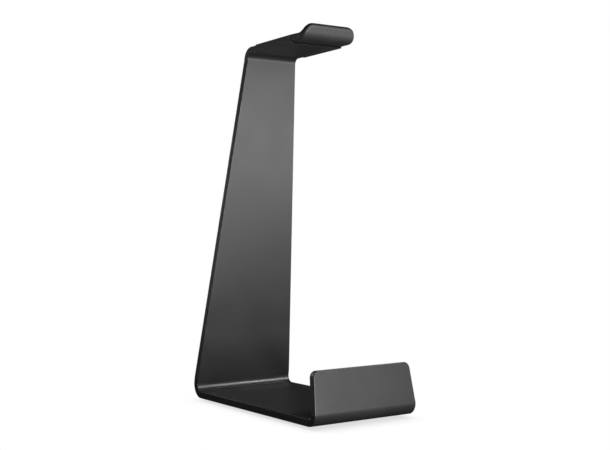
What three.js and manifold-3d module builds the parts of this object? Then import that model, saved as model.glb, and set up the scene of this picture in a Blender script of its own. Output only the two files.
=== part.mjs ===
// Headphone stand: one bent metal sheet with a slip-on rubber saddle and four stick-on feet.
//
// Millimetres, +Z up. X runs across the stand, -Y is the front, where the lip and the saddle's
// nose are. The origin is on the desk, under the middle of the base.

import * as THREE from 'three';
import { mergeVertices } from 'three/addons/utils/BufferGeometryUtils.js';
import Module from 'manifold-3d';

const wasm = await Module();
wasm.setup();

const degrees = Math.PI / 180;

// The bent sheet, measured from the underside of its base
const SHEET = 5;
const BASE_WIDTH = 80;
const BASE_LENGTH = 160.8; // between the two outer corners, before they are rounded
const SHEET_HEIGHT = 251.65;
const UPRIGHT_LEAN = 10.45 * degrees;
const TAPER_START = 14.5; // height where the upright starts to narrow
const TAPER_END = 243;
const ARM_WIDTH = 40.8;
const ARM_LENGTH = 59; // from the upright's outer corner to the sheet's front end
const LIP_LEAN = 9.4 * degrees;
const LIP_HEIGHT = 35;
const LIP_TAPER_START = 8;
const LIP_TOP_WIDTH = 75.7;
const LIP_CORNER = 4.5;
const LIP_BEND = 3; // inside radii of the three bends
const REAR_BEND = 4.7;
const TOP_BEND = 4.2;

// The saddle: a sleeve over the arm, and a nose in front of it that turns up into a stop
const SADDLE_PROUD = 0.45; // how far the sleeve stands out from the sheet
const SADDLE_CLEARANCE = 0.05; // between the sleeve and the sheet
const SLEEVE_LENGTH = 44.7; // from the step to the sleeve's mouth
const END_WALL = 1; // rubber in front of the sheet's end
const NOSE_STEP = 0.95; // the nose's underside is this much higher than the sleeve's
const NOSE_FLOOR = 14.25; // from the step to the foot of the stop
const STOP_OUTER = { reach: 4.95, rise: 9 }; // from the foot of the stop to its outer tip
const STOP_INNER = { reach: 4.1, rise: 6.1 }; // from the inside corner to the inner tip
const INSIDE_CORNER = { reach: 11.7, drop: 0.35 }; // from the step, and below the sleeve's top
const STOP_OUTER_BEND = 8.4;
const STOP_INNER_BEND = 4.3;
const STOP_TIP_RADIUS = 1.3;
const NOSE_CORNER = { across: 7.4, along: 11.4 }; // seen from above
const NOSE_CORNER_FULLNESS = 2.3; // 2 is an ellipse, and more is squarer

// Feet: a rubber disc on a thinner disc of double-sided tape
const FOOT_RADIUS = 6;
const FOOT_THICKNESS = 1.8;
const FOOT_CHAMFER = 0.4;
const TAPE_RADIUS = 5.5;
const TAPE_THICKNESS = 0.2;
const FOOT_FROM_SIDE = 15; // from a foot's centre to the base's side edge
const FOOT_FROM_END = 25; // from a foot's centre to the base's front or rear

const OVERRUN = 10; // how far a cutting solid runs past what it cuts

const BEND_STEPS = 12;
const CORNER_STEPS = 10;
const FOOT_SIDES = 32;

const UNDERSIDE = FOOT_THICKNESS + TAPE_THICKNESS;

// ---- Outlines -------------------------------------------------------------------------------

// Points of the arc that rounds one corner of an outline
function roundedCorner(before, corner, after, radius, steps) {
  if (!radius) return [corner];
  const toBefore = before.clone().sub(corner).normalize();
  const toAfter = after.clone().sub(corner).normalize();
  const halfAngle = Math.acos(toBefore.dot(toAfter)) / 2;
  const start = corner.clone().addScaledVector(toBefore, radius / Math.tan(halfAngle));
  const middle = toBefore.clone().add(toAfter).normalize();
  const centre = corner.clone().addScaledVector(middle, radius / Math.sin(halfAngle));
  const turn = Math.PI - 2 * halfAngle;
  const direction = Math.sign(toAfter.cross(toBefore));
  const points = [];
  for (let step = 0; step <= steps; step += 1) {
    points.push(start.clone().rotateAround(centre, (direction * turn * step) / steps));
  }
  return points;
}

// A closed outline from corners given as { at, radius }
function roundedShape(corners, steps) {
  const count = corners.length;
  const points = corners.flatMap((corner, i) => {
    const before = corners[(i + count - 1) % count].at;
    const after = corners[(i + 1) % count].at;
    return roundedCorner(before, corner.at, after, corner.radius, steps);
  });
  return new THREE.Shape(points);
}

const at = (u, v, radius = 0) => ({ at: new THREE.Vector2(u, v), radius });

// The same outline on the +X and the -X side
function mirrored(corners) {
  const others = corners.map((corner) => at(-corner.at.x, corner.at.y, corner.radius));
  return [...corners, ...others.reverse()];
}

// How far a shape reaches along its first axis
function extent(shape) {
  const along = shape.getPoints().map((point) => point.x);
  return { least: Math.min(...along), most: Math.max(...along) };
}

// ---- Solids ---------------------------------------------------------------------------------

// A side outline, in Y and Z, made `width` wide across X
function acrossX(shape, width) {
  const geometry = new THREE.ExtrudeGeometry(shape, { depth: width, bevelEnabled: false });
  geometry.translate(0, 0, -width / 2);
  const sideways = new THREE.Matrix4().makeBasis(
    new THREE.Vector3(0, 1, 0),
    new THREE.Vector3(0, 0, 1),
    new THREE.Vector3(1, 0, 0),
  );
  return geometry.applyMatrix4(sideways);
}

// A front outline, in X and Z, running along Y from `front` to `rear`
function alongY(shape, front, rear) {
  const geometry = new THREE.ExtrudeGeometry(shape, { depth: rear - front, bevelEnabled: false });
  return geometry.rotateX(Math.PI / 2).translate(0, rear, 0);
}

// A plan outline, in X and Y, from `bottom` up to `top`
function upZ(shape, bottom, top) {
  const geometry = new THREE.ExtrudeGeometry(shape, { depth: top - bottom, bevelEnabled: false });
  return geometry.translate(0, 0, bottom);
}

function block(low, high) {
  const size = high.clone().sub(low);
  const centre = low.clone().add(high).multiplyScalar(0.5);
  return new THREE.BoxGeometry(size.x, size.y, size.z).translate(centre.x, centre.y, centre.z);
}

function toSolid(geometry) {
  const bare = geometry.clone();
  bare.deleteAttribute('normal');
  bare.deleteAttribute('uv');
  const merged = mergeVertices(bare);
  return new wasm.Manifold(
    new wasm.Mesh({
      numProp: 3,
      vertProperties: new Float32Array(merged.attributes.position.array),
      triVerts: new Uint32Array(merged.index.array),
    }),
  );
}

function toGeometry(solid) {
  const mesh = solid.getMesh();
  const geometry = new THREE.BufferGeometry();
  geometry.setAttribute('position', new THREE.BufferAttribute(mesh.vertProperties, 3));
  geometry.setIndex(new THREE.BufferAttribute(mesh.triVerts, 1));
  geometry.computeVertexNormals();
  return geometry;
}

// ---- The bent sheet -------------------------------------------------------------------------

// Outer corners of the sheet seen from the side, from the lip's top round to the arm's end.
// Y is counted from the front corner, and Z from the base's underside.
function outerCorners() {
  const topCorner = BASE_LENGTH - SHEET_HEIGHT * Math.tan(UPRIGHT_LEAN);
  return [
    new THREE.Vector2(LIP_HEIGHT * Math.tan(LIP_LEAN), LIP_HEIGHT),
    new THREE.Vector2(0, 0),
    new THREE.Vector2(BASE_LENGTH, 0),
    new THREE.Vector2(topCorner, SHEET_HEIGHT),
    new THREE.Vector2(topCorner - ARM_LENGTH, SHEET_HEIGHT),
  ];
}

// The corners of the inner face, one sheet thickness to the left of the outer one
function innerCorners(outer) {
  const leftOf = (from, to) => {
    const along = to.clone().sub(from).normalize();
    return new THREE.Vector2(-along.y, along.x);
  };
  return outer.map((corner, i) => {
    const before = leftOf(outer[Math.max(i - 1, 0)], outer[Math.max(i, 1)]);
    const last = outer.length - 1;
    const after = leftOf(outer[Math.min(i, last - 1)], outer[Math.min(i + 1, last)]);
    const mitre = before.clone().add(after).normalize();
    return corner.clone().addScaledVector(mitre, SHEET / mitre.dot(before));
  });
}

function sheetSideShape() {
  const outer = outerCorners();
  const inner = innerCorners(outer);
  const bends = [0, LIP_BEND, REAR_BEND, TOP_BEND, 0];
  const outerFace = outer.map((point, i) => ({ at: point, radius: bends[i] && bends[i] + SHEET }));
  const innerFace = inner.map((point, i) => ({ at: point, radius: bends[i] }));
  return roundedShape([...outerFace, ...innerFace.reverse()], BEND_STEPS);
}

// Seen from the front, the base is straight and the upright narrows to the arm's width
function uprightFrontShape() {
  const halfBase = BASE_WIDTH / 2;
  const halfArm = ARM_WIDTH / 2;
  return roundedShape(
    mirrored([
      at(halfBase, -OVERRUN),
      at(halfBase, TAPER_START),
      at(halfArm, TAPER_END),
      at(halfArm, SHEET_HEIGHT + OVERRUN),
    ]),
    CORNER_STEPS,
  );
}

function lipFrontShape() {
  const halfBase = BASE_WIDTH / 2;
  return roundedShape(
    mirrored([
      at(halfBase, -OVERRUN),
      at(halfBase, LIP_TAPER_START),
      at(LIP_TOP_WIDTH / 2, LIP_HEIGHT, LIP_CORNER),
    ]),
    CORNER_STEPS,
  );
}

function sheetGeometry() {
  const middle = BASE_LENGTH / 2;
  const blank = toSolid(acrossX(sheetSideShape(), BASE_WIDTH + 2 * OVERRUN));
  const behind = toSolid(alongY(uprightFrontShape(), middle, BASE_LENGTH + OVERRUN));
  const overhead = toSolid(
    block(
      new THREE.Vector3(-ARM_WIDTH / 2, -OVERRUN, SHEET_HEIGHT / 2),
      new THREE.Vector3(ARM_WIDTH / 2, middle, SHEET_HEIGHT + OVERRUN),
    ),
  );
  const inFront = toSolid(alongY(lipFrontShape(), -OVERRUN, middle));
  return toGeometry(blank.intersect(behind.add(inFront).add(overhead)));
}

// ---- The saddle -----------------------------------------------------------------------------

// Side outline. Y is counted forward from the step, so it is turned round at the end.
function saddleSideShape() {
  const top = SHEET + SADDLE_PROUD;
  const noseUnderside = NOSE_STEP - SADDLE_PROUD;
  const inside = { reach: INSIDE_CORNER.reach, height: top - INSIDE_CORNER.drop };
  const corners = [
    at(-SLEEVE_LENGTH, -SADDLE_PROUD),
    at(0, -SADDLE_PROUD),
    at(0, noseUnderside),
    at(NOSE_FLOOR, noseUnderside, STOP_OUTER_BEND),
    at(NOSE_FLOOR + STOP_OUTER.reach, noseUnderside + STOP_OUTER.rise, STOP_TIP_RADIUS),
    at(inside.reach + STOP_INNER.reach, inside.height + STOP_INNER.rise, STOP_TIP_RADIUS),
    at(inside.reach, inside.height, STOP_INNER_BEND),
    at(0, top),
    at(-SLEEVE_LENGTH, top),
  ];
  return roundedShape(corners.map((c) => at(-c.at.x, c.at.y, c.radius)).reverse(), BEND_STEPS);
}

function saddlePlanShape() {
  const half = ARM_WIDTH / 2 + SADDLE_PROUD;
  const { across, along } = NOSE_CORNER;
  const cornerRear = extent(saddleSideShape()).least + along;
  const corners = [at(half, SLEEVE_LENGTH)];
  for (let step = 0; step <= CORNER_STEPS; step += 1) {
    const angle = (Math.PI / 2) * (step / CORNER_STEPS);
    const sideways = across * Math.cos(angle) ** (2 / NOSE_CORNER_FULLNESS);
    const forward = along * Math.sin(angle) ** (2 / NOSE_CORNER_FULLNESS);
    corners.push(at(half - across + sideways, cornerRear - forward));
  }
  return roundedShape(mirrored(corners), CORNER_STEPS);
}

// The sleeve's inside, open at the rear
function saddleSocket() {
  const half = ARM_WIDTH / 2 + SADDLE_CLEARANCE;
  return block(
    new THREE.Vector3(-half, END_WALL - SADDLE_CLEARANCE, -SADDLE_CLEARANCE),
    new THREE.Vector3(half, SLEEVE_LENGTH + OVERRUN, SHEET + SADDLE_CLEARANCE),
  );
}

function saddleGeometry() {
  const body = toSolid(acrossX(saddleSideShape(), ARM_WIDTH + 2 * OVERRUN));
  const plan = toSolid(upZ(saddlePlanShape(), -OVERRUN, SHEET + 2 * OVERRUN));
  return toGeometry(body.intersect(plan).subtract(toSolid(saddleSocket())));
}

// ---- Feet -----------------------------------------------------------------------------------

function footGeometry() {
  const profile = [
    new THREE.Vector2(0, 0),
    new THREE.Vector2(FOOT_RADIUS - FOOT_CHAMFER, 0),
    new THREE.Vector2(FOOT_RADIUS, FOOT_CHAMFER),
    new THREE.Vector2(FOOT_RADIUS, FOOT_THICKNESS),
    new THREE.Vector2(0, FOOT_THICKNESS),
  ];
  return new THREE.LatheGeometry(profile, FOOT_SIDES).rotateX(Math.PI / 2);
}

function tapeGeometry() {
  return new THREE.CylinderGeometry(TAPE_RADIUS, TAPE_RADIUS, TAPE_THICKNESS, FOOT_SIDES)
    .rotateX(Math.PI / 2)
    .translate(0, 0, TAPE_THICKNESS / 2);
}

// ---- Materials ------------------------------------------------------------------------------

const coatedMetal = () =>
  new THREE.MeshStandardMaterial({ color: 0x2a2a2c, roughness: 0.45, metalness: 0.35 });
const saddleRubber = () =>
  new THREE.MeshStandardMaterial({ color: 0x1c1c1d, roughness: 0.7, metalness: 0 });
const footRubber = () =>
  new THREE.MeshStandardMaterial({ color: 0x121213, roughness: 0.85, metalness: 0 });
const tapeFoam = () =>
  new THREE.MeshStandardMaterial({ color: 0xb9b8b2, roughness: 0.8, metalness: 0 });

// ---- The assembly ---------------------------------------------------------------------------

function piece(name, geometry, material) {
  const mesh = new THREE.Mesh(geometry, material);
  mesh.name = name;
  return mesh;
}

// The sheet and the saddle are drawn from the base's underside
const raised = new THREE.Group();
raised.position.z = UNDERSIDE;

raised.add(piece('bent_frame', sheetGeometry(), coatedMetal()));

const saddle = piece('saddle', saddleGeometry(), saddleRubber());
const armEnd = outerCorners().at(-1);
saddle.position.set(0, armEnd.x - END_WALL, SHEET_HEIGHT - SHEET);
raised.add(saddle);

// The rounded bends bring the front and the rear in from the outer corners
const depth = extent(sheetSideShape());

const stand = new THREE.Group();
stand.position.y = -(depth.least + depth.most) / 2;
stand.add(raised);

const ends = { front: depth.least + FOOT_FROM_END, rear: depth.most - FOOT_FROM_END };
const sides = { left: FOOT_FROM_SIDE - BASE_WIDTH / 2, right: BASE_WIDTH / 2 - FOOT_FROM_SIDE };
for (const [end, y] of Object.entries(ends)) {
  for (const [side, x] of Object.entries(sides)) {
    const foot = piece(`foot_${end}_${side}`, footGeometry(), footRubber());
    foot.position.set(x, y, 0);
    const tape = piece(`foot_tape_${end}_${side}`, tapeGeometry(), tapeFoam());
    tape.position.set(x, y, FOOT_THICKNESS);
    stand.add(foot, tape);
  }
}

export default stand;
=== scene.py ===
"""A headphone stand: one bent, powder-coated sheet, a slip-on rubber saddle and four stick-on feet.

Metres, +Z up. X runs across the stand, and -Y is the front. Each piece stands for one CAD node and
takes its place from that node's box.
"""

import math

import bmesh
import bpy
from mathutils import Matrix, Vector


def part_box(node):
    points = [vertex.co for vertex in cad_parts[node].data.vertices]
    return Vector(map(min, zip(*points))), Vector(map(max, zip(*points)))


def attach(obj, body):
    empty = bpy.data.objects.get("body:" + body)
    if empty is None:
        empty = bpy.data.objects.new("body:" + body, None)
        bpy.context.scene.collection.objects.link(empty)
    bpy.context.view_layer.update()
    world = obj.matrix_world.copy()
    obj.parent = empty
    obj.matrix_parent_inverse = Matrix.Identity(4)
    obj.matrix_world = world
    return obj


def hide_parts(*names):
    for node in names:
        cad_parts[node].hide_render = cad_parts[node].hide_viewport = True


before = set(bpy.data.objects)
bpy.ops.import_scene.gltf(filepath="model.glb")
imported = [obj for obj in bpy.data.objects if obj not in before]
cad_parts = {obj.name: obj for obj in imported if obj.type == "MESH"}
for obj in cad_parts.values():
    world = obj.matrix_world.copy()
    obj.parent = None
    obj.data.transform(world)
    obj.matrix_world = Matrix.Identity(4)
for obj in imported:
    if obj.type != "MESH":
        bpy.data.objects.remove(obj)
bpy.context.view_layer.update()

MM = 0.001

# ---- Sizes ----------------------------------------------------------------------------------

# The bent sheet
SHEET = 5 * MM
LIP_LEAN = math.radians(9.4)
LIP_HEIGHT = 35 * MM
LIP_TAPER_START = 8 * MM
LIP_HALF_TOP = 37.85 * MM
LIP_CORNER = 4.5 * MM
UPRIGHT_LEAN = math.radians(10.45)
TAPER_START = 14.5 * MM
TAPER_END = 243 * MM
TAPER_BLEND = 12 * MM  # radius where the straight and the narrowing edges meet
LIP_BEND = 3 * MM  # inside radii of the three bends
REAR_BEND = 4.7 * MM
TOP_BEND = 4.2 * MM
SHEET_EDGE = 0.5 * MM

# The saddle: a sleeve over the arm, then a nose that turns up into a stop. Its side outline is
# counted forward from the step under it, and up from the underside of the arm.
SADDLE_PROUD = 0.45 * MM
SOCKET_GAP = 0.05 * MM
SLEEVE_LENGTH = 44.7 * MM
END_WALL = 1 * MM
SLEEVE_EDGE = 0.6 * MM
GROOVE_WIDTH = 0.6 * MM
GROOVE_DEPTH = 0.8 * MM
GROOVE_SIDE_DEPTH = 0.3 * MM
GROOVE_DRAFT = 0.04 * MM
GROOVE_EDGE = 0.07 * MM
GROOVE_SIDE_FADE = 0.25  # share of the thickness in which the groove in the side fades out
NOSE_UNDERSIDE = 0.5 * MM
NOSE_FOOT = Vector((14.25, 0.5)) * MM
NOSE_TIP_BELOW = Vector((19.2, 9.5)) * MM
NOSE_TIP_ABOVE = Vector((15.8, 11.2)) * MM
NOSE_INSIDE = Vector((11.7, 5.1)) * MM
OUTER_BEND = 8.4 * MM
INNER_BEND = 4.3 * MM
NOSE_CORNER_ACROSS = 7.4 * MM
NOSE_CORNER_ALONG = 11.4 * MM
NOSE_CORNER_FULLNESS = 2.3  # 2 is an ellipse, and more is squarer
NOSE_EDGE_BELOW = 1.3 * MM
NOSE_EDGE_ABOVE = 0.7 * MM
TIP_EDGE_BELOW = 1.8 * MM
TIP_EDGE_ABOVE = 0.8 * MM

# The feet
FOOT_EDGE_BELOW = 0.5 * MM
FOOT_EDGE_ABOVE = 0.2 * MM
TAPE_EDGE = 0.03 * MM
FOOT_SIDES = 72

BEND_STEPS = 28
CORNER_STEPS = 14
NOSE_CORNER_STEPS = 36
NOSE_FLOOR_STEPS = 6
STOP_STEPS = 10
EDGE_STEPS = 5
STRAIGHT_STEP = 8 * MM
CLOSEST = 0.01 * MM  # points of an outline are never closer than this
SHARP = math.radians(40)

# ---- Outlines -------------------------------------------------------------------------------


def direction(angle):
    return Vector((math.cos(angle), math.sin(angle)))


def left_of(heading):
    return Vector((-heading.y, heading.x))


def spread(start, end, steps):
    """Evenly spaced values from start to end, both included."""
    return [start + (end - start) * step / steps for step in range(steps + 1)]


def between(start, end, longest):
    """Evenly spaced points after start and before end, at most `longest` apart."""
    pieces = max(1, math.ceil((end - start).length / longest))
    return [start.lerp(end, piece / pieces) for piece in range(1, pieces)]


def rounded_corner(before, corner, after, radius, steps):
    """Points of the arc that rounds one corner of an outline."""
    if radius == 0:
        return [corner.copy()]
    to_before = (before - corner).normalized()
    to_after = (after - corner).normalized()
    half_angle = to_before.angle(to_after) / 2
    centre = corner + (to_before + to_after).normalized() * radius / math.sin(half_angle)
    start = corner + to_before * radius / math.tan(half_angle) - centre
    turn = math.pi - 2 * half_angle
    side = math.copysign(1, to_after.x * to_before.y - to_after.y * to_before.x)
    return [centre + Matrix.Rotation(side * a, 2) @ start for a in spread(0, turn, steps)]


def rounded_line(corners, steps):
    """An open outline from (point, radius) corners. Its two ends stay sharp."""
    points = [corner for corner, _ in corners]
    line = [points[0].copy()]
    for i in range(1, len(corners) - 1):
        line += rounded_corner(points[i - 1], points[i], points[i + 1], corners[i][1], steps)
    return line + [points[-1].copy()]


def filled(line, longest):
    """The same line with more points on its long straight stretches."""
    points = [line[0]]
    for start, end in zip(line, line[1:]):
        points += between(start, end, longest) + [end]
    return points


def value_along(line, along):
    """A line of (distance, value) points read at one distance."""
    for start, end in zip(line, line[1:]):
        if along <= end.x:
            break
    share = (along - start.x) / (end.x - start.x)
    return start.y + (end.y - start.y) * min(max(share, 0), 1)


def marked(line, marks):
    """A line of (along, across) points, with one more at each mark that isn't next to a point."""
    points = list(line)
    for mark in marks:
        if all(abs(mark - point.x) > CLOSEST for point in line):
            points.append(Vector((mark, value_along(line, mark))))
    return sorted(points, key=lambda point: point.x)


def inward(outline, open_start):
    """At each point of half an outline and its mirror image, the way that moves its edge inwards."""
    loop = outline + [Vector((p.x, -p.y)) for p in reversed(outline)]
    moves = []
    for i in range(len(outline)):
        out = left_of((loop[i + 1] - loop[i]).normalized())
        into = left_of((loop[i] - loop[i - 1]).normalized()) if i or not open_start else out
        mitre = (into + out).normalized()
        moves.append(-mitre / mitre.dot(into))
    return moves


def rounded_edge(thickness, below, above):
    """(inset, height) points from the lower face round the edge of a plate to its upper face."""
    angles = spread(0, math.pi / 2, EDGE_STEPS)
    lower = [(below * (1 - math.sin(a)), below * (1 - math.cos(a))) for a in angles]
    upper = [(above * (1 - math.cos(a)), thickness - above * (1 - math.sin(a))) for a in angles]
    return lower + upper


# ---- Meshes ---------------------------------------------------------------------------------


def to_object(mesh, name):
    """Turns a finished mesh into an object of the scene."""
    data = bpy.data.meshes.new(name)
    mesh.to_mesh(data)
    mesh.free()
    piece = bpy.data.objects.new(name, data)
    bpy.context.scene.collection.objects.link(piece)
    return piece


def finished(mesh, name, material):
    """An object with smooth faces, whose large flat faces stay flat."""
    bmesh.ops.recalc_face_normals(mesh, faces=mesh.faces)
    for face in mesh.faces:
        face.smooth = True
    for edge in mesh.edges:
        edge.smooth = edge.calc_face_angle() < SHARP
    piece = to_object(mesh, name)
    piece.modifiers.new("flat faces", "WEIGHTED_NORMAL").keep_sharp = True
    piece.data.materials.append(material)
    return piece


def stand_in(piece, node):
    """Shows a piece in place of one CAD node."""
    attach(piece, "root")
    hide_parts(node)


def plate(mesh, outline, edges, place, open_start=False):
    """Adds a plate that is the same on its +X and -X side, and returns the loop at its start.

    outline: (along, half width) points from one end to the other.
    edges: for each of them, (inset, height) points from the lower to the upper face.
    place: turns (along, across, height) into a point in space.
    """
    right, left = [], []
    for point, move, edge in zip(outline, inward(outline, open_start), edges):
        moved = [(point + move * inset, height) for inset, height in edge]
        right.append([mesh.verts.new(place(p.x, p.y, height)) for p, height in moved])
        left.append([mesh.verts.new(place(p.x, -p.y, height)) for p, height in moved])
    last = len(edges[0]) - 1
    for i in range(len(outline) - 1):
        for side in (right, left):
            for k in range(last):
                mesh.faces.new((side[i][k], side[i + 1][k], side[i + 1][k + 1], side[i][k + 1]))
        for k in (0, last):
            mesh.faces.new((right[i][k], right[i + 1][k], left[i + 1][k], left[i][k]))
    for i in [-1] if open_start else [0, -1]:
        for k in range(last):
            mesh.faces.new((right[i][k], right[i][k + 1], left[i][k + 1], left[i][k]))
    return right[0] + left[0][::-1]


def bridge(mesh, outer, inner):
    """Joins two loops that have the same number of points."""
    for k in range(len(outer)):
        mesh.faces.new((outer[k - 1], outer[k], inner[k], inner[k - 1]))


def lathe(profile, centre, sides):
    """A solid of revolution from (radius, height) points, from its bottom face to its top face."""
    mesh = bmesh.new()
    rings = []
    for radius, height in profile:
        ring = []
        for side in range(sides):
            spot = direction(2 * math.pi * side / sides) * radius
            ring.append(mesh.verts.new(centre + Vector((spot.x, spot.y, height))))
        rings.append(ring)
    for low, high in zip(rings, rings[1:]):
        for side in range(sides):
            after = (side + 1) % sides
            mesh.faces.new((low[side], low[after], high[after], high[side]))
    mesh.faces.new(rings[0])
    mesh.faces.new(rings[-1])
    return mesh


# ---- Node helpers ---------------------------------------------------------------------------


def add(tree, kind, inputs, **settings):
    """A new node. An input is a plain value or another node's output."""
    node = tree.nodes.new(kind)
    for name, value in settings.items():
        setattr(node, name, value)
    for name, value in inputs.items():
        if isinstance(value, bpy.types.NodeSocket):
            tree.links.new(value, node.inputs[name])
        else:
            node.inputs[name].default_value = value
    return node


def math_node(tree, operation, *values):
    inputs = dict(enumerate(values))
    return add(tree, "ShaderNodeMath", inputs, operation=operation).outputs[0]


def noise(tree, size, detail):
    """Cloudy noise whose features are about `size` across."""
    place = add(tree, "ShaderNodeTexCoord", {}).outputs["Object"]
    inputs = {"Vector": place, "Scale": 1 / size, "Detail": detail}
    return add(tree, "ShaderNodeTexNoise", inputs).outputs["Fac"]


def remap(tree, value, low, high, to_low, to_high):
    inputs = {
        "Value": value,
        "From Min": low,
        "From Max": high,
        "To Min": to_low,
        "To Max": to_high,
    }
    return add(tree, "ShaderNodeMapRange", inputs).outputs["Result"]


# ---- Materials ------------------------------------------------------------------------------

GAP_SHADE_SHARE = 0.05  # painted shade: what is left of the colour and the shine deep in a gap
GAP_SHADE_STARTS = 0.9  # open share of the surroundings where the painted shade of a gap starts
GAP_SHADE_DEEP = 0.6
WEAR_STARTS = 0.995  # cosine between a face and its rounded-off edge where the wear starts
WEAR_FULL = 0.9
GRAIN_ROUGHNESS = 0.03  # the grain makes the roughness vary by this much either way
NOISE_LOW = 0.3  # nearly all of the noise lies between these two values
NOISE_HIGH = 0.7
GRAIN_DETAIL = 3
RIPPLE_DETAIL = 2
PATCH_DETAIL = 3
WEAR_SAMPLES = 6
GAP_SHADE_SAMPLES = 8
MIX_SOCKETS = {"FLOAT": (2, 3, 0), "RGBA": (6, 7, 2)}  # first input, second input, output


def grey(value):
    return (value, value, value, 1)


def new_material(name):
    material = bpy.data.materials.new(name)
    material.use_nodes = True
    material.node_tree.nodes.clear()
    return material


def mix(tree, kind, share, first, second):
    """Goes from the first to the second input, which are numbers or colours."""
    first_socket, second_socket, result = MIX_SOCKETS[kind]
    inputs = {0: share, first_socket: first, second_socket: second}
    return add(tree, "ShaderNodeMix", inputs, data_type=kind).outputs[result]


def worn_edges(tree, reach):
    """1 along the sharp outer edges and 0 on the faces."""
    rounded = add(tree, "ShaderNodeBevel", {"Radius": reach}, samples=WEAR_SAMPLES)
    flat = add(tree, "ShaderNodeNewGeometry", {}).outputs["Normal"]
    normals = {0: rounded.outputs["Normal"], 1: flat}
    facing = add(tree, "ShaderNodeVectorMath", normals, operation="DOT_PRODUCT")
    return remap(tree, facing.outputs["Value"], WEAR_STARTS, WEAR_FULL, 0, 1)


def open_share(tree, reach, samples):
    """The share of the surroundings that no face nearer than `reach` blocks."""
    inputs = {"Distance": reach}
    return add(tree, "ShaderNodeAmbientOcclusion", inputs, samples=samples).outputs["AO"]


def painted_gap_shade(tree, reach):
    """Painted shade: 1 deep in the narrow spaces between pieces, where nearby faces block the light,
    and 0 on the open faces.
    """
    return remap(tree, open_share(tree, reach, GAP_SHADE_SAMPLES), GAP_SHADE_STARTS, GAP_SHADE_DEEP, 0, 1)


def coating(name, look):
    """A moulded or sprayed finish, from a dictionary of its sizes and shares.

    Worn patches of the edges turn to the edge's grey, and shade is painted into the narrow spaces
    between pieces, darkening their colour and shine.
    """
    material = new_material(name)
    tree = material.node_tree
    grain = noise(tree, look["grain"], GRAIN_DETAIL)
    ripple = noise(tree, look["ripple"], RIPPLE_DETAIL)
    patches = noise(tree, look["patches"], PATCH_DETAIL)
    edges = math_node(tree, "MULTIPLY", worn_edges(tree, look["edge reach"]), patches)
    # painted shade: colour and shine darken where nearby faces close in
    gap_shade = painted_gap_shade(tree, look["gap shade reach"])

    cloudy = mix(tree, "RGBA", patches, grey(look["dark"]), grey(look["light"]))
    worn = mix(tree, "RGBA", edges, cloudy, grey(look["edge"]))
    # the painted shade darkens the colour and the shine between pieces
    colour = mix(tree, "RGBA", gap_shade, worn, grey(look["dark"] * GAP_SHADE_SHARE))
    shine = remap(tree, gap_shade, 0, 1, look["shine"], look["shine"] * GAP_SHADE_SHARE)
    rough = remap(tree, patches, NOISE_LOW, NOISE_HIGH, look["smoothest"], look["roughest"])
    uneven = remap(tree, grain, NOISE_LOW, NOISE_HIGH, -GRAIN_ROUGHNESS, GRAIN_ROUGHNESS)
    height = mix(tree, "FLOAT", look["grain share"], ripple, grain)
    bump = add(
        tree,
        "ShaderNodeBump",
        {"Height": height, "Distance": look["depth"], "Strength": 1},
    )
    surface = add(
        tree,
        "ShaderNodeBsdfPrincipled",
        {
            "Base Color": colour,
            "Roughness": math_node(tree, "ADD", rough, uneven),
            "Specular IOR Level": shine,
            "Normal": bump.outputs["Normal"],
        },
    )
    add(tree, "ShaderNodeOutputMaterial", {"Surface": surface.outputs["BSDF"]})
    return material


def powder_coat():
    return coating(
        "powder_coat",
        {
            "grain": 0.25 * MM,
            "ripple": 1.6 * MM,
            "grain share": 0.35,
            "patches": 22 * MM,
            "depth": 0.02 * MM,
            "dark": 0.013,
            "light": 0.017,
            "edge": 0.045,
            "edge reach": 0.6 * MM,
            "gap shade reach": 1.2 * MM,
            "smoothest": 0.37,
            "roughest": 0.41,
            "shine": 0.5,
        },
    )


def saddle_rubber():
    return coating(
        "saddle_rubber",
        {
            "grain": 0.18 * MM,
            "ripple": 0.7 * MM,
            "grain share": 0.6,
            "patches": 9 * MM,
            "depth": 0.03 * MM,
            "dark": 0.013,
            "light": 0.018,
            "edge": 0.035,
            "edge reach": 0.5 * MM,
            "gap shade reach": 3.5 * MM,
            "smoothest": 0.48,
            "roughest": 0.56,
            "shine": 0.55,
        },
    )


def foot_rubber():
    return coating(
        "foot_rubber",
        {
            "grain": 0.12 * MM,
            "ripple": 0.5 * MM,
            "grain share": 0.7,
            "patches": 4 * MM,
            "depth": 0.02 * MM,
            "dark": 0.010,
            "light": 0.016,
            "edge": 0.03,
            "edge reach": 0.3 * MM,
            "gap shade reach": 1 * MM,
            "smoothest": 0.62,
            "roughest": 0.72,
            "shine": 0.35,
        },
    )


def foot_tape():
    return coating(
        "foot_tape",
        {
            "grain": 0.08 * MM,
            "ripple": 0.4 * MM,
            "grain share": 0.5,
            "patches": 3 * MM,
            "depth": 0.01 * MM,
            "dark": 0.42,
            "light": 0.5,
            "edge": 0.35,
            "edge reach": 0.1 * MM,
            "gap shade reach": 0.5 * MM,
            "smoothest": 0.7,
            "roughest": 0.8,
            "shine": 0.3,
        },
    )


# ---- The bent sheet -------------------------------------------------------------------------


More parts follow.
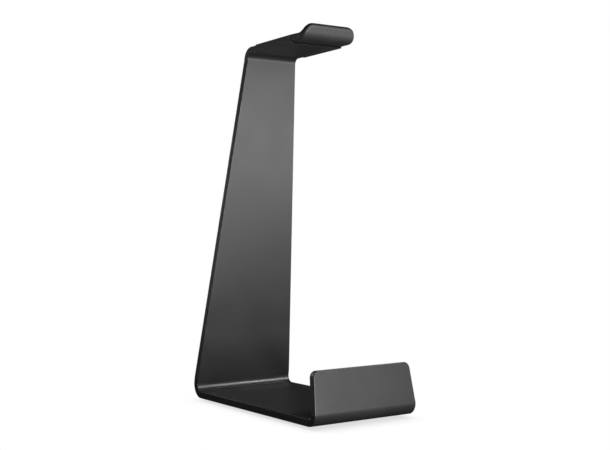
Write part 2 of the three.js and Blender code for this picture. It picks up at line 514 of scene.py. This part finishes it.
class SidePath:
    """The outer face of the sheet seen from the side: straight stretches and round bends.

    It starts at a point (y, z) with a heading, and every bend turns left, to the inner face.
    """

    def __init__(self, start, heading):
        self.stretches = []
        self.length = 0
        self.point = start
        self.heading = heading

    def straight(self, length):
        self.add(length, 0)

    def bend(self, radius, turn):
        self.add(radius * turn, 1 / radius)

    def add(self, length, curvature):
        self.stretches.append((self.length, self.point, self.heading, curvature))
        self.length += length
        self.point, self.heading = self.read(self.length)

    def read(self, along):
        """The point and the heading at one distance along the path."""
        reached = [s for s in self.stretches if s[0] <= along] or self.stretches
        start, point, heading, curvature = reached[-1]
        turned = heading + curvature * (along - start)
        if curvature == 0:
            return point + direction(heading) * (along - start), turned
        centre = point + left_of(direction(heading)) / curvature
        return centre - left_of(direction(turned)) / curvature, turned

    def place(self, along, across, height):
        point, heading = self.read(along)
        point = point + left_of(direction(heading)) * height
        return Vector((across, point.x, point.y))

    def bend_marks(self):
        """Distances along the path that the bends need points at."""
        marks = []
        ends = [s[0] for s in self.stretches[1:]] + [self.length]
        for (start, _, _, curvature), end in zip(self.stretches, ends):
            if curvature:
                marks += spread(start, end, BEND_STEPS)
        return marks


def sheet_path(low, high, arm_front):
    """The outer face from the lip's top to the arm's end, and where the upright's flat starts.

    The start is given as the distance along the path and the height above the sheet's underside.
    """
    lip_radius = LIP_BEND + SHEET
    rear_radius = REAR_BEND + SHEET
    top_radius = TOP_BEND + SHEET
    front_centre = Vector((low.y + lip_radius, low.z + lip_radius))
    rear_centre = Vector((high.y - rear_radius, low.z + rear_radius))

    lip_turn = math.pi / 2 + LIP_LEAN
    lip_out = -left_of(direction(-lip_turn))
    lip_foot = front_centre + lip_out * lip_radius
    lip_length = (low.z + LIP_HEIGHT - lip_foot.y) / math.cos(LIP_LEAN)
    rear_turn = math.pi / 2 + UPRIGHT_LEAN
    rise = high.z - top_radius - rear_centre.y
    upright_length = rise - (rear_radius - top_radius) * math.sin(UPRIGHT_LEAN)
    upright_length /= math.cos(UPRIGHT_LEAN)

    path = SidePath(lip_foot - direction(-lip_turn) * lip_length, -lip_turn)
    path.straight(lip_length)
    path.bend(lip_radius, lip_turn)
    path.straight(rear_centre.x - front_centre.x)
    path.bend(rear_radius, rear_turn)
    upright_start = (path.length, path.point.y - low.z)
    path.straight(upright_length)
    path.bend(top_radius, math.pi - rear_turn)
    path.straight(path.point.x - arm_front)
    return path, upright_start


def sheet_outline(path, upright_start, half_base, half_arm):
    """(along, half width) points of the sheet as it is before bending."""
    start_along, start_height = upright_start

    def on_lip(height):
        return (LIP_HEIGHT - height) / math.cos(LIP_LEAN)

    def on_upright(height):
        return start_along + (height - start_height) / math.cos(UPRIGHT_LEAN)

    corners = [
        (Vector((0, 0)), 0),
        (Vector((0, LIP_HALF_TOP)), LIP_CORNER),
        (Vector((on_lip(LIP_TAPER_START), half_base)), TAPER_BLEND),
        (Vector((on_upright(TAPER_START), half_base)), TAPER_BLEND),
        (Vector((on_upright(TAPER_END), half_arm)), TAPER_BLEND),
        (Vector((path.length, half_arm)), SHEET_EDGE),
        (Vector((path.length, 0)), 0),
    ]
    outline = rounded_line(corners, CORNER_STEPS)[1:-1]
    return marked(filled(outline, STRAIGHT_STEP), path.bend_marks())


def bent_sheet(material):
    low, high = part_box("bent_frame")
    saddle_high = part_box("saddle")[1]
    arm_front = saddle_high.y - SLEEVE_LENGTH + END_WALL
    path, upright_start = sheet_path(low, high, arm_front)
    outline = sheet_outline(path, upright_start, high.x, saddle_high.x - SADDLE_PROUD)
    edges = [rounded_edge(SHEET, SHEET_EDGE, SHEET_EDGE)] * len(outline)
    mesh = bmesh.new()
    plate(mesh, outline, edges, path.place)
    piece = finished(mesh, "bent_sheet", material)
    stand_in(piece, "bent_frame")


# ---- The saddle -----------------------------------------------------------------------------


def saddle_sides():
    """The saddle's lower and upper line seen from the side, point for point, from the mouth."""
    groove_top = NOSE_UNDERSIDE + GROOVE_DEPTH
    below = rounded_line(
        [
            (Vector((-SLEEVE_LENGTH, -SADDLE_PROUD)), 0),
            (Vector((0, -SADDLE_PROUD)), GROOVE_EDGE),
            (Vector((GROOVE_DRAFT, groove_top)), 0),
            (Vector((GROOVE_WIDTH - GROOVE_DRAFT, groove_top)), 0),
            (Vector((GROOVE_WIDTH, NOSE_UNDERSIDE)), GROOVE_EDGE),
            (NOSE_FOOT, 0),
        ],
        EDGE_STEPS,
    )[:-1]
    turn_below = rounded_corner(below[-1], NOSE_FOOT, NOSE_TIP_BELOW, OUTER_BEND, BEND_STEPS)
    top = SHEET + SADDLE_PROUD
    top_step = Vector((0, top))
    turn_above = rounded_corner(top_step, NOSE_INSIDE, NOSE_TIP_ABOVE, INNER_BEND, BEND_STEPS)
    top_line = [Vector((-SLEEVE_LENGTH, top)), top_step, turn_above[0]]
    above = [Vector((p.x, value_along(top_line, p.x))) for p in below]

    below += spread(below[-1], turn_below[0], NOSE_FLOOR_STEPS)[1:-1] + turn_below
    above += spread(above[-1], turn_above[0], NOSE_FLOOR_STEPS)[1:-1] + turn_above
    below += spread(turn_below[-1], NOSE_TIP_BELOW, STOP_STEPS)[1:]
    above += spread(turn_above[-1], NOSE_TIP_ABOVE, STOP_STEPS)[1:]
    return below, above


def read_line(along, line, distance):
    """A point of a line whose points are at the listed distances."""
    after = next((i for i, there in enumerate(along) if there >= distance and i), len(along) - 1)
    share = (distance - along[after - 1]) / (along[after] - along[after - 1])
    return line[after - 1].lerp(line[after], share)


def saddle_outline(along, half):
    """(along, half width) points from the mouth to the tip, with the nose's rounded corner."""
    start = Vector((along[-1] - NOSE_CORNER_ALONG, half - NOSE_CORNER_ACROSS))
    power = 2 / NOSE_CORNER_FULLNESS
    outline = [Vector((0, half))]
    for angle in spread(0, math.pi / 2, NOSE_CORNER_STEPS):
        forward = NOSE_CORNER_ALONG * math.sin(angle) ** power
        sideways = NOSE_CORNER_ACROSS * max(math.cos(angle), 0) ** power
        outline.append(start + Vector((forward, sideways)))
    return marked(outline, along)


def saddle_edge(forward, round_corner, thickness):
    """(inset, share of the thickness) points of the saddle's edge.

    forward is counted from the step, and round_corner goes from 0 on the side to 1 at the tip.
    """
    if forward < GROOVE_WIDTH / 2:
        below, above = SLEEVE_EDGE, SLEEVE_EDGE
    else:
        below = NOSE_EDGE_BELOW + (TIP_EDGE_BELOW - NOSE_EDGE_BELOW) * round_corner
        above = NOSE_EDGE_ABOVE + (TIP_EDGE_ABOVE - NOSE_EDGE_ABOVE) * round_corner
    in_groove = GROOVE_DRAFT / 2 < forward < GROOVE_WIDTH - GROOVE_DRAFT / 2
    edge = []
    for inset, height in rounded_edge(thickness, below, above):
        share = height / thickness
        if in_groove:
            inset += GROOVE_SIDE_DEPTH * min(1, (1 - share) / GROOVE_SIDE_FADE)
        edge.append((inset, share))
    return edge


def saddle_outside(mesh, high, arm_underside):
    """Adds the saddle's outer faces, and returns the loop round its mouth."""
    step_y = high.y - SLEEVE_LENGTH
    below, above = saddle_sides()
    middle = [(b + a) / 2 for b, a in zip(below, above)]
    along = [0]
    for start, end in zip(middle, middle[1:]):
        along.append(along[-1] + (end - start).length)

    def place(distance, across, share):
        lower = read_line(along, below, distance)
        upper = read_line(along, above, distance)
        point = lower.lerp(upper, share)
        return Vector((across, step_y - point.x, arm_underside + point.y))

    outline = saddle_outline(along, high.x)
    edges = []
    for point in outline:
        lower = read_line(along, below, point.x)
        upper = read_line(along, above, point.x)
        round_corner = (high.x - point.y) / NOSE_CORNER_ACROSS
        edges.append(saddle_edge(lower.x, round_corner, (upper - lower).length))
    return plate(mesh, outline, edges, place, open_start=True)


def saddle_socket(mesh, high, arm_underside):
    """Adds the faces round the arm, and returns the loop at the socket's mouth."""
    half = high.x - SADDLE_PROUD + SOCKET_GAP
    depth = SLEEVE_LENGTH - END_WALL + SOCKET_GAP

    def place(distance, across, height):
        return Vector((across, high.y - distance, arm_underside - SOCKET_GAP + height))

    outline = [Vector((0, half)), Vector((depth, half))]
    edge = rounded_edge(SHEET + 2 * SOCKET_GAP, SHEET_EDGE, SHEET_EDGE)
    return plate(mesh, outline, [edge] * len(outline), place, open_start=True)


def saddle(material):
    low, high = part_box("saddle")
    arm_underside = low.z + SADDLE_PROUD
    mesh = bmesh.new()
    outside = saddle_outside(mesh, high, arm_underside)
    inside = saddle_socket(mesh, high, arm_underside)
    bridge(mesh, outside, inside)
    piece = finished(mesh, "rubber_saddle", material)
    stand_in(piece, "saddle")


# ---- The feet -------------------------------------------------------------------------------


def disc(name, node, edge_below, edge_above, material):
    """A round pad with softened edges, in the place of one CAD node."""
    low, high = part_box(node)
    radius = (high.x - low.x) / 2
    centre = (low + high) / 2
    centre.z = low.z
    edge = rounded_edge(high.z - low.z, edge_below, edge_above)
    profile = [(radius - inset, height) for inset, height in edge]
    return finished(lathe(profile, centre, FOOT_SIDES), name, material)


def foot(place, rubber, tape):
    node = "foot_" + place
    pad = disc("pad_" + place, node, FOOT_EDGE_BELOW, FOOT_EDGE_ABOVE, rubber)
    stand_in(pad, node)
    node = "foot_tape_" + place
    sticker = disc("tape_" + place, node, TAPE_EDGE, TAPE_EDGE, tape)
    stand_in(sticker, node)


def feet(rubber, tape):
    for end in ("front", "rear"):
        for side in ("left", "right"):
            foot(end + "_" + side, rubber, tape)


# ---- The stage ------------------------------------------------------------------------------

FLOOR_SIZE = 8
SHADOW_REACH = 20 * MM  # the floor is white, but for a soft shadow where the stand touches it
SHADOW_DEEPEST = 0.7
SHADOW_ENDS = 0.9  # open share of the surroundings where the shadow ends
SHADOW_SAMPLES = 16
ROOM_LIGHT = 0.02  # the floor and the backdrop look white but throw only this much light
LIGHT_BEAM = math.pi
KEY_BEAM = math.radians(50)  # a honeycomb keeps the key's light on the base and the rear bend
PANEL_HEIGHT = 2 * MM
CAMERA_PLACE = Vector((-0.40456, -0.61135, 0.12348))
CAMERA_YAW = math.radians(33.932)
CAMERA_PITCH = math.radians(0.303)
CAMERA_ROLL = math.radians(-0.510)
CAMERA_LENS = 62.203  # millimetres, like the sensor
CAMERA_SENSOR = 36
CAMERA_NEAREST = 10 * MM


def studio_floor():
    mesh = bmesh.new()
    bmesh.ops.create_grid(mesh, x_segments=1, y_segments=1, size=FLOOR_SIZE / 2)
    floor = to_object(mesh, "studio_floor")
    material = new_material("floor_paper")
    tree = material.node_tree
    seen = add(tree, "ShaderNodeLightPath", {}).outputs["Is Camera Ray"]
    openness = open_share(tree, SHADOW_REACH, SHADOW_SAMPLES)
    brightness = remap(tree, openness, 0, SHADOW_ENDS, SHADOW_DEEPEST, 1)
    white = add(tree, "ShaderNodeEmission", {"Strength": brightness}).outputs[0]
    dim = add(tree, "ShaderNodeBsdfDiffuse", {"Color": grey(ROOM_LIGHT)}).outputs[0]
    surface = add(tree, "ShaderNodeMixShader", {0: seen, 1: dim, 2: white}).outputs[0]
    add(tree, "ShaderNodeOutputMaterial", {"Surface": surface})
    floor.data.materials.append(material)


def studio_world():
    world = bpy.data.worlds.new("studio")
    bpy.context.scene.world = world
    world.use_nodes = True
    tree = world.node_tree
    tree.nodes.clear()
    seen = add(tree, "ShaderNodeLightPath", {}).outputs["Is Camera Ray"]
    white = add(tree, "ShaderNodeBackground", {"Color": grey(1), "Strength": 1})
    dim = add(tree, "ShaderNodeBackground", {"Color": grey(1), "Strength": ROOM_LIGHT})
    shaders = {0: seen, 1: dim.outputs[0], 2: white.outputs[0]}
    surface = add(tree, "ShaderNodeMixShader", shaders).outputs[0]
    add(tree, "ShaderNodeOutputWorld", {"Surface": surface})


def softbox(name, place, aim, size, power, beam=LIGHT_BEAM):
    """A rectangular light of `power` watts. A narrow beam stands for a honeycomb before it."""
    data = bpy.data.lights.new(name, "AREA")
    data.shape = "RECTANGLE"
    data.size, data.size_y = size
    data.energy = power
    data.spread = beam
    light = bpy.data.objects.new(name, data)
    light.location = place
    light.rotation_euler = (aim - place).to_track_quat("-Z", "Y").to_euler()
    light.visible_camera = False
    bpy.context.scene.collection.objects.link(light)


def floor_panel(name, x, y, size, power):
    """A light panel that lies on the floor and shines upwards."""
    place = Vector((x, y, PANEL_HEIGHT))
    softbox(name, place, place + Vector((0, 0, 1)), size, power)


def studio_lights():
    """Low lights in front, which the sloping faces mirror, and large soft ones round the rest."""
    middle = Vector((0, 0.03, 0.15))
    rear_bend = Vector((0, 0.075, 0.006))
    square = (0.1, 0.1)
    wide = (0.5, 0.3)
    softbox("key", Vector((0.3, -0.26, 0.32)), rear_bend, square, 0.15, KEY_BEAM)
    softbox("top_front", Vector((0, -0.3, 0.32)), middle, square, 0.5)
    softbox("low_front", Vector((0, -0.5, 0.06)), Vector((0, 0, 0.06)), (0.15, 0.1), 3.2)
    floor_panel("floor_far", 0.5, -0.72, (0.15, 0.27), 5.5)
    floor_panel("floor_front", 0.35, -0.49, (0.15, 0.18), 1.2)
    floor_panel("floor_near", 0.08, -0.2, (0.15, 0.1), 0.15)
    softbox("left", Vector((-0.87, 0.5, 0.16)), middle, wide, 0.9)
    softbox("right", Vector((1, 0.1, 0.15)), middle, wide, 4)
    softbox("back", Vector((0.1, 1.1, 0.2)), middle, wide, 8)
    softbox("left_back", Vector((-0.75, 0.75, 0.45)), middle, wide, 0.25)


def camera():
    data = bpy.data.cameras.new("camera")
    data.sensor_width = CAMERA_SENSOR
    data.lens = CAMERA_LENS
    data.clip_start = CAMERA_NEAREST
    eye = bpy.data.objects.new("camera", data)
    forward = Vector((
        math.sin(CAMERA_YAW) * math.cos(CAMERA_PITCH),
        math.cos(CAMERA_YAW) * math.cos(CAMERA_PITCH),
        math.sin(CAMERA_PITCH),
    ))
    across = Vector((math.cos(CAMERA_YAW), -math.sin(CAMERA_YAW), 0))
    upward = across.cross(forward)
    right = across * math.cos(CAMERA_ROLL) + upward * math.sin(CAMERA_ROLL)
    up = upward * math.cos(CAMERA_ROLL) - across * math.sin(CAMERA_ROLL)
    turn = Matrix((right, up, -forward)).transposed()
    eye.matrix_world = Matrix.Translation(CAMERA_PLACE) @ turn.to_4x4()
    bpy.context.scene.collection.objects.link(eye)
    bpy.context.scene.camera = eye


# ---- The scene ------------------------------------------------------------------------------

bent_sheet(powder_coat())
saddle(saddle_rubber())
feet(foot_rubber(), foot_tape())
studio_floor()
studio_world()
studio_lights()
camera()
bpy.context.scene.view_settings.view_transform = "Standard"
